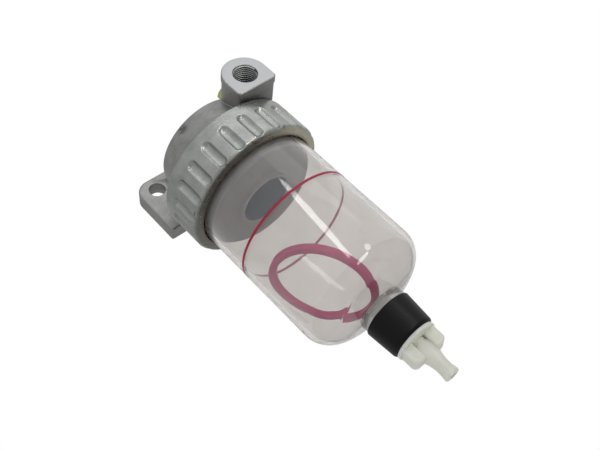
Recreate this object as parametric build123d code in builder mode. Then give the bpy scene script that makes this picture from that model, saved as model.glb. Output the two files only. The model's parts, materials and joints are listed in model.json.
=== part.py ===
# Fuel water separator: a cast head on a wall plate, a clear bowl held up by a screwed
# lock ring, a float, and a drain cock below. All sizes in millimetres.
# Origin: on the rear face of the wall plate, midway between its two bolt holes.
# +Z runs up along the bowl, +Y into the wall, and the inlet port faces -Y.
import os
from math import atan2, cos, hypot, pi, radians, sin, tan

from build123d import *

os.makedirs("parts", exist_ok=True)

# Clearances
RUN_GAP = 0.3         # between faces that move past each other
FIT_GAP = 0.05        # between pieces that are pushed together
CUT_OVER = 1.0        # how far a cut runs past a face

# Bowl axis and main heights
WALL_ROOM = 2.3       # between the lock ring and the wall
HEAD_TOP_Z = -14.4
HEAD_FACE_Z = -53.7   # lower face of the head, over the bowl's flange
RING_TOP_Z = -35.5
RING_LOW_Z = -62.4
COLLAR_TOP_Z = -167.0
COLLAR_LOW_Z = -186.7
NOZZLE_END_Z = -213.6

# Head casting
HEAD_STEP = 2.7       # from the screw band in to the foot of the cone
HEAD_TOP_R = 31.5
HEAD_FOOT_Z = -34.5
HEAD_EDGE_R = 1.5
HEAD_WALL = 4.2
THREAD_TOP_Z = -36.5  # top of the band that the lock ring screws on
SKIRT_IN = 3.0        # from the bowl's outside in to the skirt's inside
CHAMBER_TOP_Z = -18.4
SPIGOT_R = 15.3       # standpipe that carries the baffle
SPIGOT_LOW_Z = -49.0
SPIGOT_WALL = 3.0
CORE_TOP_Z = -27.0    # top of the cored standpipe

# Inlet port
PORT_X = 20.3
PORT_Z = -23.0
PORT_REACH = 50.0     # from the bowl axis to the machined face
PORT_R = 13.0         # half width of the boss and radius of its arch
PORT_FLAT = 11.2      # from the port's axis down to the flat
PORT_CORNER_R = 2.0
PORT_LIP = 4.6        # thickness of the face plate
PORT_LIP_OUT = 0.5
PORT_THREAD_R = 7.0   # M14 x 1.5
PORT_THREAD_LEN = 14.0
PORT_SINK = 0.5
PASSAGE_R = 4.5
PASSAGE_END = 10.0    # where the passage stops, from the bowl axis

# Outlet port, on top over the bowl axis
OUTLET_R = 12.5
OUTLET_TOP_Z = -7.6

# Bleed screw over the inlet passage
BLEED_OUT = 22.3      # from the bowl axis
BLEED_PAD_R = 7.0     # flat faced into the arch
BLEED_PAD_Z = -10.6
BLEED_R = 3.0         # M6
BLEED_LEN = 6.0
BLEED_FLATS = 10.0
BLEED_HEAD = 4.1
BLEED_CHAMFER = 0.4
BLEED_CORNER = 60.0   # slope of the turned corners, from the screw's axis
WASHER_R = 5.8
WASHER_T = 1.0
VENT_R = 1.0

# Wall plate
PLATE_T = 9.3
PLATE_TOP = 9.9       # above the bolt holes
PLATE_DROP = 31.2     # below the bolt holes
PLATE_HALF = 38.6
PLATE_CORNER_R = 9.8
PLATE_EDGE_R = 1.2
BOLT_SPACING = 54.0
BOLT_HOLE_R = 5.25
WEB_HALF = 18.0       # half width of the block between plate and cone
RIB_X = 14.0
RIB_T = 6.0
RIB_TOP_Z = 3.0

# Lock ring
RING_WALL = 3.9       # outside its screwed bore
RING_OPEN = 0.5       # gap round the bowl
RING_EDGE_R = 2.0
RING_BEVEL = 0.8
RING_CONE = 1.2       # rise of the lower face from the opening outwards
GROOVES = 22
GROOVE_R = 3.6
GROOVE_DEPTH = 2.0
GROOVE_TOP = 6.5      # from the ring's top down to a groove
GROOVE_BREAK = 0.6    # how far a groove's lower end breaks out below the ring's corner
GROOVE_PHASE = -73.5

# Bowl
BOWL_R = 38.5
BOWL_WALL = 2.7
FLANGE_OUT = 2.2      # how far the flange stands out from the bowl's wall
FLANGE_T = 4.0
SHOULDER_Z = -143.5
SHOULDER_R = 15.4
SHOULDER_SWEEP = 76.0
NECK_R = 14.0         # clear step above the collar
NECK_LOW_R = 12.2     # inside the collar
NECK_END_Z = -182.0
RELIEF_R = 8.4        # wider bore that the seal ring enters when the cock is opened
RELIEF_H = 8.1

# Seal, baffle and float
SEAL_IN = 1.9         # from the bowl's outside in to the seal
SEAL_RIM = 1.3        # from the flange's edge in to the seal
SEAL_GROOVE = 2.2
BAFFLE_ROOM = 0.8     # between the baffle and the bowl's wall
BAFFLE_T = 1.8
BAFFLE_LOW_Z = -67.6
BAFFLE_RIM = 12.0
BAFFLE_BEND_R = 1.2
BAFFLE_SPOUT = 2.6    # how far the tube stands out below the dish
BAFFLE_TUBE_TOP_Z = -36.0
FLOAT_ROOM = 6.7      # between the float, when it lies level, and the bowl's wall
FLOAT_T = 3.8         # radial thickness of the hoop
FLOAT_H = 4.2         # height of the hoop along its own axis
FLOAT_EDGE_R = 0.6
FLOAT_TILT = 58.5     # how far the float leans over in the empty bowl
FLOAT_TURN = 4.0      # which way it leans, from +X
FLOAT_SIDE = 0.8      # between the leaning float's sides and the bowl
RIM_STEPS = 72        # points tried round the float's rims to seat it

# Collar and drain cock
COLLAR_TOP_R = 14.8
COLLAR_LOW_R = 13.4
COLLAR_EDGE_R = 2.2
COLLAR_BRIM_R = 0.6
COCK_DISC_R = 12.5
COCK_DISC_T = 1.7
WING_L = 11.0
WING_IN = 4.2         # where a wing starts beside the body
WING_HALF = 5.2       # half the thickness of a wing
WING_LOW_Z = -198.6
WING_CORNER_R = 3.2
WING_EDGE_R = 1.2
WING_TURN = -10.0
WAIST_R = 4.05
WAIST_Z = -206.8
# Oval body between the wings, which runs out into the nozzle: height, half width, half depth
COCK_BODY = (
    (-187.8, 7.0, 4.0), (-194.0, 7.0, 4.3), (-197.6, 6.8, 4.5), (-199.3, 5.7, 4.5),
    (-201.2, 4.9, 4.45), (-203.6, 4.35, 4.3), (-205.4, 4.1, 4.1), (WAIST_Z, WAIST_R, WAIST_R),
)
NOZZLE_R = 4.6
NOZZLE_LAND = 1.2     # straight end of the nozzle
NOZZLE_EDGE_R = 1.1
STEM_R = 7.0          # M14 stem in the neck
STEM_TOP_Z = -159.2
STEM_CHAMFER = 1.0
DRAIN_R = 2.0
DRAIN_LAND = 0.9      # from the seal's groove down to the drain's cross hole
RING_SEAL_IN_R = 5.4
RING_SEAL_H = 2.4
RING_SEAL_DROP = 10.8 # from the stem's top down to the middle of the seal ring

# Radii that follow the bowl and its flange
inner_r = BOWL_R - BOWL_WALL
flange_r = BOWL_R + FLANGE_OUT
thread_r = flange_r + RUN_GAP
head_r = thread_r - HEAD_STEP
skirt_in_r = BOWL_R - SKIRT_IN
ring_bore = thread_r + RUN_GAP
ring_r = ring_bore + RING_WALL
ring_open_r = BOWL_R + RING_OPEN
seal_in_r = BOWL_R - SEAL_IN
seal_out_r = flange_r - SEAL_RIM
baffle_r = inner_r - BAFFLE_ROOM
float_r = inner_r - FLOAT_ROOM
axis_y = -(ring_r + WALL_ROOM)    # bowl axis ahead of the wall

# Heights that follow the head's face and the stem
flange_top_z = HEAD_FACE_Z - RUN_GAP
ring_lip_z = flange_top_z - FLANGE_T - RUN_GAP    # shoulder that carries the bowl's flange
ring_seal_z = STEM_TOP_Z - RING_SEAL_DROP
groove_half = RING_SEAL_H / 2 + RUN_GAP
relief_top_z = ring_seal_z - groove_half
relief_low_z = relief_top_z - RELIEF_H
drain_top_z = relief_top_z - DRAIN_LAND           # closed end of the drain bore

# Planes and axes
BOWL_AXIS = Axis((0, axis_y, 0), (0, 0, 1))
BOWL_PLANE = Plane(origin=(0, axis_y, 0), x_dir=(1, 0, 0), z_dir=(0, -1, 0))
PORT_PLANE = Plane(origin=(PORT_X, axis_y - PORT_REACH, PORT_Z), x_dir=(1, 0, 0), z_dir=(0, -1, 0))
WALL_PLANE = Plane(origin=(0, 0, 0), x_dir=(1, 0, 0), z_dir=(0, -1, 0))


def level(z, x=0.0, out=0.0):
    """A horizontal plane at height z, x to the right of the bowl axis and out ahead of it."""
    return Plane(origin=(x, axis_y - out, z), x_dir=(1, 0, 0), z_dir=(0, 0, 1))


def arch(half, flat, corner):
    """The port's outline: round on top, straight sides, flat below."""
    with BuildSketch() as outline:
        with BuildLine():
            ThreePointArc((-half, 0), (0, half), (half, 0))
            Polyline((half, 0), (half, -flat), (-half, -flat), (-half, 0))
        make_face()
        fillet(outline.vertices().sort_by(Axis.Y)[:2], corner)
    return outline.sketch


# Filter head: wall plate
cone_slope = (head_r - HEAD_TOP_R) / (HEAD_TOP_Z - HEAD_FOOT_Z)
chamber_top_r = HEAD_TOP_R + cone_slope * (HEAD_TOP_Z - CHAMBER_TOP_Z) - HEAD_WALL
seal_seat_z = HEAD_FACE_Z + SEAL_GROOVE
with BuildPart() as filter_head:
    with BuildSketch(WALL_PLANE) as plate_outline:
        with Locations((0, (PLATE_TOP - PLATE_DROP) / 2)):
            Rectangle(2 * PLATE_HALF, PLATE_TOP + PLATE_DROP)
        fillet(plate_outline.vertices().sort_by(Axis.Y)[-2:], PLATE_CORNER_R)
        fillet(plate_outline.vertices().sort_by(Axis.Y)[:2], PLATE_EDGE_R)
    extrude(amount=PLATE_T)
    fillet(filter_head.faces().sort_by(Axis.Y)[0].edges(), PLATE_EDGE_R)
    # Cone and thread band
    with BuildSketch(BOWL_PLANE) as head_half:
        with BuildLine():
            Polyline(
                (0, HEAD_TOP_Z), (HEAD_TOP_R, HEAD_TOP_Z), (head_r, HEAD_FOOT_Z),
                (thread_r, THREAD_TOP_Z), (thread_r, HEAD_FACE_Z), (0, HEAD_FACE_Z), close=True,
            )
        make_face()
        fillet(head_half.vertices().sort_by_distance((HEAD_TOP_R, HEAD_TOP_Z))[:1], HEAD_EDGE_R)
    revolve(axis=BOWL_AXIS)
    # Block and ribs between plate and cone
    with BuildSketch(Plane.YZ.offset(-WEB_HALF)):
        with BuildLine():
            Polyline(
                (-PLATE_T, HEAD_TOP_Z), (axis_y, HEAD_TOP_Z), (axis_y, -PLATE_DROP),
                (-PLATE_T, -PLATE_DROP), close=True,
            )
        make_face()
    extrude(amount=2 * WEB_HALF)
    for side in (-1, 1):
        with BuildSketch(Plane.YZ.offset(side * RIB_X - RIB_T / 2)):
            with BuildLine():
                Polyline(
                    (-PLATE_T, RIB_TOP_Z), (axis_y + OUTLET_R, HEAD_TOP_Z),
                    (-PLATE_T, HEAD_TOP_Z), close=True,
                )
            make_face()
        extrude(amount=RIB_T)
    # Inlet boss with its face plate
    with BuildSketch(PORT_PLANE):
        add(arch(PORT_R, PORT_FLAT, PORT_CORNER_R))
    extrude(amount=-PORT_REACH)
    with BuildSketch(PORT_PLANE):
        add(arch(PORT_R + PORT_LIP_OUT, PORT_FLAT + PORT_LIP_OUT, PORT_CORNER_R + PORT_LIP_OUT))
    extrude(amount=-PORT_LIP)
    lip_edges = filter_head.edges().group_by(Axis.Y)
    chamfer(lip_edges[0], PORT_LIP_OUT)
    # Outlet boss, and a flat faced into the arch for the bleed screw
    with BuildSketch(level(HEAD_TOP_Z - HEAD_WALL / 2)):
        Circle(OUTLET_R)
    extrude(amount=OUTLET_TOP_Z - HEAD_TOP_Z + HEAD_WALL / 2)
    with BuildSketch(level(BLEED_PAD_Z, PORT_X, BLEED_OUT)):
        Circle(BLEED_PAD_R)
    extrude(amount=PORT_R, mode=Mode.SUBTRACT)
    # Swirl chamber round the standpipe
    with BuildSketch(BOWL_PLANE):
        with BuildLine():
            Polyline(
                (SPIGOT_R, CHAMBER_TOP_Z), (chamber_top_r, CHAMBER_TOP_Z),
                (head_r - HEAD_WALL, HEAD_FOOT_Z), (skirt_in_r, HEAD_FOOT_Z - HEAD_WALL),
                (skirt_in_r, HEAD_FACE_Z - CUT_OVER), (0, HEAD_FACE_Z - CUT_OVER), (0, SPIGOT_LOW_Z),
                (SPIGOT_R, SPIGOT_LOW_Z), close=True,
            )
        make_face()
    revolve(axis=BOWL_AXIS, mode=Mode.SUBTRACT)
    with BuildSketch(level(SPIGOT_LOW_Z)):
        Circle(SPIGOT_R - SPIGOT_WALL)
    extrude(amount=CORE_TOP_Z - SPIGOT_LOW_Z, mode=Mode.SUBTRACT)
    # Seat for the bowl seal
    with BuildSketch(level(HEAD_FACE_Z)):
        Circle(seal_out_r)
        Circle(seal_in_r, mode=Mode.SUBTRACT)
    extrude(amount=SEAL_GROOVE, mode=Mode.SUBTRACT)
    # Inlet thread and passage
    with BuildSketch(PORT_PLANE):
        Circle(PORT_THREAD_R)
    extrude(amount=-PORT_THREAD_LEN, mode=Mode.SUBTRACT)
    with BuildSketch(PORT_PLANE):
        Circle(PASSAGE_R)
    extrude(amount=-(PORT_REACH - PASSAGE_END), mode=Mode.SUBTRACT)
    # Outlet thread and passage
    with BuildSketch(level(OUTLET_TOP_Z)):
        Circle(PORT_THREAD_R)
    extrude(amount=-PORT_THREAD_LEN, mode=Mode.SUBTRACT)
    with BuildSketch(level(OUTLET_TOP_Z)):
        Circle(PASSAGE_R)
    extrude(amount=CORE_TOP_Z - OUTLET_TOP_Z, mode=Mode.SUBTRACT)
    # Countersinks of both threads
    mouths = filter_head.edges().filter_by(GeomType.CIRCLE)
    mouths = mouths.filter_by(lambda edge: abs(edge.radius - PORT_THREAD_R) < FIT_GAP)
    chamfer(mouths.sort_by(Axis.Y)[0], PORT_SINK)
    mouths = filter_head.edges().filter_by(GeomType.CIRCLE)
    mouths = mouths.filter_by(lambda edge: abs(edge.radius - PORT_THREAD_R) < FIT_GAP)
    chamfer(mouths.sort_by(Axis.Z)[-1], PORT_SINK)
    # Bleed hole and its vent
    with BuildSketch(level(BLEED_PAD_Z, PORT_X, BLEED_OUT)):
        Circle(BLEED_R + RUN_GAP)
    extrude(amount=-(BLEED_LEN + RUN_GAP), mode=Mode.SUBTRACT)
    with BuildSketch(level(BLEED_PAD_Z, PORT_X, BLEED_OUT)):
        Circle(VENT_R)
    extrude(amount=PORT_Z - BLEED_PAD_Z, mode=Mode.SUBTRACT)
    # Bolt holes
    with BuildSketch(WALL_PLANE):
        with GridLocations(BOLT_SPACING, 1, 2, 1):
            Circle(BOLT_HOLE_R)
    extrude(amount=PLATE_T, mode=Mode.SUBTRACT)
filter_head.part.label = "filter_head"
export_step(filter_head.part, "parts/filter_head.step")

# Lock ring
with BuildPart() as lock_ring:
    with BuildSketch(BOWL_PLANE) as ring_half:
        with BuildLine():
            Polyline(
                (ring_bore, RING_TOP_Z), (ring_r - RING_BEVEL, RING_TOP_Z),
                (ring_r, RING_TOP_Z - RING_BEVEL), (ring_r, RING_LOW_Z + RING_CONE),
                (ring_open_r, RING_LOW_Z), (ring_open_r, ring_lip_z),
                (ring_bore, ring_lip_z), close=True,
            )
        make_face()
        corner = (ring_r, RING_LOW_Z + RING_CONE)
        fillet(ring_half.vertices().sort_by_distance(corner)[:1], RING_EDGE_R)
    revolve(axis=BOWL_AXIS)
    groove_centre = ring_r + GROOVE_R - GROOVE_DEPTH
    groove_high_z = RING_TOP_Z - GROOVE_TOP - GROOVE_R
    groove_low_z = RING_LOW_Z + RING_CONE - GROOVE_BREAK + GROOVE_R
    with Locations(Location((0, axis_y, 0))):
        with PolarLocations(groove_centre, GROOVES, start_angle=GROOVE_PHASE):
            with Locations((0, 0, (groove_high_z + groove_low_z) / 2)):
                Cylinder(GROOVE_R, groove_high_z - groove_low_z, mode=Mode.SUBTRACT)
            with Locations((0, 0, groove_low_z), (0, 0, groove_high_z)):
                Sphere(GROOVE_R, mode=Mode.SUBTRACT)
lock_ring.part.label = "lock_ring"
export_step(lock_ring.part, "parts/lock_ring.step")

# Bowl
arc_x = BOWL_R - SHOULDER_R
inner_arc_r = SHOULDER_R - BOWL_WALL
sweep = radians(SHOULDER_SWEEP)
neck_bore = STEM_R + RUN_GAP
outer_end = (arc_x + SHOULDER_R * cos(sweep), SHOULDER_Z - SHOULDER_R * sin(sweep))
inner_end = (arc_x + inner_arc_r * cos(sweep), SHOULDER_Z - inner_arc_r * sin(sweep))
outer_mid = (arc_x + SHOULDER_R * cos(sweep / 2), SHOULDER_Z - SHOULDER_R * sin(sweep / 2))
inner_mid = (arc_x + inner_arc_r * cos(sweep / 2), SHOULDER_Z - inner_arc_r * sin(sweep / 2))
neck_top = (NECK_R, outer_end[1] - (outer_end[0] - NECK_R) / tan(sweep))
floor_low = (neck_bore, inner_end[1] - (inner_end[0] - neck_bore) / tan(sweep))
step_z = COLLAR_TOP_Z + FIT_GAP
with BuildPart() as bowl:
    with BuildSketch(BOWL_PLANE):
        with BuildLine():
            Polyline((inner_r, SHOULDER_Z), (inner_r, flange_top_z), (flange_r, flange_top_z),
                     (flange_r, flange_top_z - FLANGE_T), (BOWL_R, flange_top_z - FLANGE_T),
                     (BOWL_R, SHOULDER_Z))
            ThreePointArc((BOWL_R, SHOULDER_Z), outer_mid, outer_end)
            Polyline(outer_end, neck_top, (NECK_R, step_z), (NECK_LOW_R, step_z),
                     (NECK_LOW_R, NECK_END_Z), (neck_bore, NECK_END_Z), (neck_bore, relief_low_z),
                     (RELIEF_R, relief_low_z + RELIEF_R - neck_bore),
                     (RELIEF_R, relief_top_z - RELIEF_R + neck_bore), (neck_bore, relief_top_z),
                     floor_low, inner_end)
            ThreePointArc(inner_end, inner_mid, (inner_r, SHOULDER_Z))
        make_face()
    revolve(axis=BOWL_AXIS)
bowl.part.label = "bowl"
export_step(bowl.part, "parts/bowl.step")

# Bowl seal
with BuildPart() as bowl_seal:
    with BuildSketch(level(seal_seat_z)):
        Circle(seal_out_r - FIT_GAP)
        Circle(seal_in_r + FIT_GAP, mode=Mode.SUBTRACT)
    extrude(amount=-(SEAL_GROOVE + RUN_GAP / 2))
bowl_seal.part.label = "bowl_seal"
export_step(bowl_seal.part, "parts/bowl_seal.step")

# Baffle: a dish on a tube that is pushed over the standpipe
tube_in = SPIGOT_R + FIT_GAP
tube_out = tube_in + BAFFLE_T
spout_z = BAFFLE_LOW_Z - BAFFLE_SPOUT
with BuildPart() as baffle:
    with BuildSketch(BOWL_PLANE) as dish_half:
        with BuildLine():
            Polyline(
                (tube_in, spout_z), (tube_out, spout_z), (tube_out, BAFFLE_LOW_Z),
                (baffle_r, BAFFLE_LOW_Z),
                (baffle_r, BAFFLE_LOW_Z + BAFFLE_RIM), (baffle_r - BAFFLE_T, BAFFLE_LOW_Z + BAFFLE_RIM),
                (baffle_r - BAFFLE_T, BAFFLE_LOW_Z + BAFFLE_T), (tube_out, BAFFLE_LOW_Z + BAFFLE_T),
                (tube_out, BAFFLE_TUBE_TOP_Z), (tube_in, BAFFLE_TUBE_TOP_Z), close=True,
            )
        make_face()
        corner = (baffle_r, BAFFLE_LOW_Z)
        fillet(dish_half.vertices().sort_by_distance(corner)[:1], BAFFLE_BEND_R)
    revolve(axis=BOWL_AXIS)
baffle.part.label = "baffle"
export_step(baffle.part, "parts/baffle.step")

# Float: a hoop that leans in the empty bowl, its foot on the drain cock's stem and its
# sides against the bowl's shoulder
turn = radians(FLOAT_TURN)
tilt = radians(FLOAT_TILT)
float_z = STEM_TOP_Z + RUN_GAP + float_r * sin(tilt) + FLOAT_H / 2 * cos(tilt)


def wall_gap(r, z):
    """How far a point in the bowl is from its wall, its shoulder or its floor."""
    if z > SHOULDER_Z:
        return inner_r - r
    if atan2(SHOULDER_Z - z, r - arc_x) < sweep:
        return inner_arc_r - hypot(r - arc_x, z - SHOULDER_Z)
    return (inner_end[0] - r) * cos(sweep) + (z - inner_end[1]) * sin(sweep)


def float_gap(out):
    """The least gap from the float's rims to the bowl, with its centre this far off the axis."""
    gaps = []
    for face in (-FLOAT_H / 2, FLOAT_H / 2):
        for step in range(RIM_STEPS):
            angle = 2 * pi * step / RIM_STEPS
            down = float_r * cos(angle)
            along = down * cos(tilt) + face * sin(tilt) - out
            height = float_z - down * sin(tilt) + face * cos(tilt)
            gaps.append(wall_gap(hypot(along, float_r * sin(angle)), height))
    return min(gaps)


# The float slides over until its sides are that far from the bowl
float_out = 0.0
slide = inner_r / 2
while slide > FIT_GAP:
    if float_gap(float_out + slide) > FLOAT_SIDE:
        float_out += slide
    slide /= 2
float_plane = Plane(
    origin=(-float_out * cos(turn), axis_y - float_out * sin(turn), float_z),
    x_dir=(-sin(turn), cos(turn), 0),
    z_dir=(sin(tilt) * cos(turn), sin(tilt) * sin(turn), cos(tilt)),
)
with BuildPart() as float_ring:
    with BuildSketch(float_plane):
        Circle(float_r)
        Circle(float_r - FLOAT_T, mode=Mode.SUBTRACT)
    extrude(amount=FLOAT_H / 2, both=True)
    fillet(float_ring.edges().filter_by(GeomType.CIRCLE), FLOAT_EDGE_R)
float_ring.part.label = "float_ring"
export_step(float_ring.part, "parts/float_ring.step")

# Collar round the neck
with BuildPart() as neck_collar:
    with BuildSketch(BOWL_PLANE) as collar_half:
        with BuildLine():
            Polyline(
                (NECK_LOW_R + FIT_GAP, COLLAR_TOP_Z), (COLLAR_TOP_R, COLLAR_TOP_Z),
                (COLLAR_LOW_R, COLLAR_LOW_Z), (neck_bore, COLLAR_LOW_Z),
                (neck_bore, NECK_END_Z - FIT_GAP), (NECK_LOW_R + FIT_GAP, NECK_END_Z - FIT_GAP),
                close=True,
            )
        make_face()
        rim = (COLLAR_TOP_R, COLLAR_TOP_Z)
        foot = (COLLAR_LOW_R, COLLAR_LOW_Z)
        fillet(collar_half.vertices().sort_by_distance(rim)[:1], COLLAR_BRIM_R)
        fillet(collar_half.vertices().sort_by_distance(foot)[:1], COLLAR_EDGE_R)
    revolve(axis=BOWL_AXIS)
neck_collar.part.label = "neck_collar"
export_step(neck_collar.part, "parts/neck_collar.step")

# Drain cock: stem, disc, column, nozzle and two finger wings
disc_top_z = COLLAR_LOW_Z - RUN_GAP
disc_low_z = disc_top_z - COCK_DISC_T
groove_floor = RING_SEAL_IN_R - RUN_GAP
nozzle_face = (NOZZLE_R, NOZZLE_END_Z)
flare_low = (NOZZLE_R, NOZZLE_END_Z + NOZZLE_LAND)
wing_turn = radians(WING_TURN)
wing_plane = Plane(
    origin=(0, axis_y, 0), x_dir=(cos(wing_turn), sin(wing_turn), 0),
    z_dir=(sin(wing_turn), -cos(wing_turn), 0),
)
with BuildPart() as wings:
    with BuildSketch(wing_plane) as wing_outline:
        with Locations(((WING_IN + WING_L) / 2, (disc_top_z + WING_LOW_Z) / 2)):
            Rectangle(WING_L - WING_IN, disc_top_z - WING_LOW_Z)
        fillet(wing_outline.vertices().sort_by_distance((WING_L, WING_LOW_Z))[:1], WING_CORNER_R)
        mirror(about=Plane.YZ)
    extrude(amount=WING_HALF, both=True)
    broad_faces = wings.faces().filter_by(wing_plane)
    fillet(broad_faces.edges(), WING_EDGE_R)

with BuildPart() as drain_cock:
    with BuildSketch(BOWL_PLANE) as cock_half:
        with BuildLine():
            Polyline(
                (0, NOZZLE_END_Z), (0, STEM_TOP_Z), (STEM_R - STEM_CHAMFER, STEM_TOP_Z),
                (STEM_R, STEM_TOP_Z - STEM_CHAMFER), (STEM_R, ring_seal_z + groove_half),
                (groove_floor, ring_seal_z + groove_half), (groove_floor, ring_seal_z - groove_half),
                (STEM_R, ring_seal_z - groove_half), (STEM_R, disc_top_z), (COCK_DISC_R, disc_top_z),
                (COCK_DISC_R, disc_low_z), (WAIST_R, disc_low_z), (WAIST_R, WAIST_Z),
            )
            TangentArc((WAIST_R, WAIST_Z), flare_low, tangent=(0, -1))
            Polyline(flare_low, nozzle_face, (0, NOZZLE_END_Z))
        make_face()
        tip = (NOZZLE_R, NOZZLE_END_Z)
        fillet(cock_half.vertices().sort_by_distance(tip)[:1], NOZZLE_EDGE_R)
    revolve(axis=BOWL_AXIS)
    for height, half_width, half_depth in COCK_BODY:
        with BuildSketch(Plane(origin=(0, axis_y, height), x_dir=wing_plane.x_dir, z_dir=(0, 0, 1))):
            Ellipse(half_width, half_depth)
    loft()
    add(wings.part)
    with BuildSketch(level(NOZZLE_END_Z)):
        Circle(DRAIN_R)
    extrude(amount=drain_top_z - NOZZLE_END_Z, mode=Mode.SUBTRACT)
    with BuildSketch(Plane.YZ.offset(-STEM_R)):
        with Locations((axis_y, drain_top_z - DRAIN_R)):
            Circle(DRAIN_R)
    extrude(amount=2 * STEM_R, mode=Mode.SUBTRACT)
drain_cock.part.label = "drain_cock"
export_step(drain_cock.part, "parts/drain_cock.step")

# Seal ring on the cock's stem
with BuildPart() as drain_seal:
    with BuildSketch(level(ring_seal_z)):
        Circle(STEM_R)
        Circle(RING_SEAL_IN_R, mode=Mode.SUBTRACT)
    extrude(amount=RING_SEAL_H / 2, both=True)
    fillet(drain_seal.edges().filter_by(GeomType.CIRCLE), RING_SEAL_H / 4)
drain_seal.part.label = "drain_seal"
export_step(drain_seal.part, "parts/drain_seal.step")

# Bleed screw and its washer
washer_z = BLEED_PAD_Z + FIT_GAP
screw_z = washer_z + WASHER_T + FIT_GAP
with BuildPart() as bleed_washer:
    with BuildSketch(level(washer_z, PORT_X, BLEED_OUT)):
        Circle(WASHER_R)
        Circle(BLEED_R + RUN_GAP, mode=Mode.SUBTRACT)
    extrude(amount=WASHER_T)
bleed_washer.part.label = "bleed_washer"
export_step(bleed_washer.part, "parts/bleed_washer.step")

with BuildPart() as bleed_screw:
    with BuildSketch(level(screw_z, PORT_X, BLEED_OUT)):
        RegularPolygon(BLEED_FLATS / 2, 6, major_radius=False)
    extrude(amount=BLEED_HEAD)
    # Turned corners on top of the hexagon
    with BuildSketch(level(screw_z + BLEED_HEAD, PORT_X, BLEED_OUT)):
        Circle(BLEED_FLATS / 2 - BLEED_CHAMFER)
    extrude(amount=-BLEED_HEAD, taper=-BLEED_CORNER, mode=Mode.INTERSECT)
    with BuildSketch(level(screw_z, PORT_X, BLEED_OUT)):
        Circle(BLEED_R)
    extrude(amount=-(BLEED_LEN - FIT_GAP))
bleed_screw.part.label = "bleed_screw"
export_step(bleed_screw.part, "parts/bleed_screw.step")
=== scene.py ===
"""Looks of a fuel water separator: cast head, fluted lock ring, clear bowl, float and drain cock."""

import json
from math import atan, cos, pi, radians, sin, sqrt, tan
from typing import NamedTuple

import bmesh
import bpy
from bpy.props import FloatProperty, FloatVectorProperty, IntProperty, PointerProperty
from mathutils import Euler, Matrix, Vector


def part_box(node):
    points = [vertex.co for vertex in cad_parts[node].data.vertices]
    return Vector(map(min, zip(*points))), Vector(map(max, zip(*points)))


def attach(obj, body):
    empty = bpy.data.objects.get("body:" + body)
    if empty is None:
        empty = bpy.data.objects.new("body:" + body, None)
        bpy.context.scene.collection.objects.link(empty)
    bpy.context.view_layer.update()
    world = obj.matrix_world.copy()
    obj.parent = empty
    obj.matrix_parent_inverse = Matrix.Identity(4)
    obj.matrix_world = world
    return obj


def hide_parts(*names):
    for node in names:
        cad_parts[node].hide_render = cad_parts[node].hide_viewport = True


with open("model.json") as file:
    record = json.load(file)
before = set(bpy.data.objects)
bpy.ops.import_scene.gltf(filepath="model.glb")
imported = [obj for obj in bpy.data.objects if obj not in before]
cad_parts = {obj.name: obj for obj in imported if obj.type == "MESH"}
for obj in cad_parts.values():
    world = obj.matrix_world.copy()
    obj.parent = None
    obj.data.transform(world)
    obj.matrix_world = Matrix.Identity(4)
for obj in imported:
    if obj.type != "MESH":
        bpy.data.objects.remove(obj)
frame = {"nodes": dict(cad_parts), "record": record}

bl_info = {
    "name": "Fuel Water Separator",
    "version": (1, 0, 0),
    "blender": (4, 5, 0),
    "location": "3D View > Sidebar > Separator",
    "description": "Finishes and fine forms of a bowl-type fuel water separator",
    "category": "Object",
}

MM = 0.001

# Places in the construction
BOWL_LOW, BOWL_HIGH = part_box("bowl")
RING_LOW, RING_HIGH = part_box("lock_ring")
HEAD_LOW, HEAD_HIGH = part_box("filter_head")
COCK_LOW, COCK_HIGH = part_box("drain_cock")
AXIS = Vector(((BOWL_LOW.x + BOWL_HIGH.x) / 2, (BOWL_LOW.y + BOWL_HIGH.y) / 2, 0))
RING_RADIUS = (RING_HIGH.x - RING_LOW.x) / 2
MOUNTS = {mount["name"]: mount for mount in frame["record"]["mounts"]}
INLET, OUTLET = MOUNTS["inlet"], MOUNTS["outlet"]

# Which faces of the head are machined
FACES_AXIS = 0.99           # how much of a face's normal has to point along an axis
TRULY_FLAT = 0.9999         # the same for a face that is shaded flat
ON_PLANE = 0.1 * MM         # how near the port's or the wall's plane a machined face is
PORT_EDGE = 0.8 * MM        # from a port's bore out to the edge of its machined mouth
PORT_CUT = 8 * MM           # from the middle of a port's thread to the end of the machined bore
OUTLET_FACE = 6 * MM        # least height of the outlet's face over the middle of its thread

# Meshes
WELD = 0.001 * MM           # corners nearer than this are one
SEGMENT_WELD = 0.005 * MM   # the same where the lock ring's segments meet
CREASE = radians(40)        # faces that meet at more than this keep a sharp edge
CAST_CREASE = radians(30)   # the same on the head
BAND_FOOT = 1.5 * MM        # plain part of the screw band below its thread
BAND_TOP = 2.5 * MM         # from the lock ring's top down to the end of the band's thread
THREAD_STEPS = 48           # points of a thread's ridge in one turn
PRINT_GAP = 0.01 * MM       # between the bowl and its print, so that they don't share a surface
PRINT_BACK = -0.5           # a face of the print that points outwards less than this is its back
FOOT_STEPS = 12             # faces over the rounding at the lock ring's lower edge
FLUTE_COLUMNS = 40          # faces across one segment of the lock ring
FLUTE_CROWDING = 0.6        # how much closer the columns stand over a flute's edges

# Finishes
BEVEL_SAMPLES = 6           # for the edges that are rounded in shading only
RUB_MARK = (-0.0198, -0.0736, -0.0181)    # middle of a dark rub on the head's cone
TURNED_STEP = 0.6 * MM      # between the machined faces' turned rings; real ones are too fine to show
CLOUDY_NECK = BOWL_LOW.z + 20 * MM        # where the bowl's neck turns cloudy
BAFFLE_BORE = 15.4 * MM     # radius inside which the baffle's tube gets painted shade, tinted blue
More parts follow.
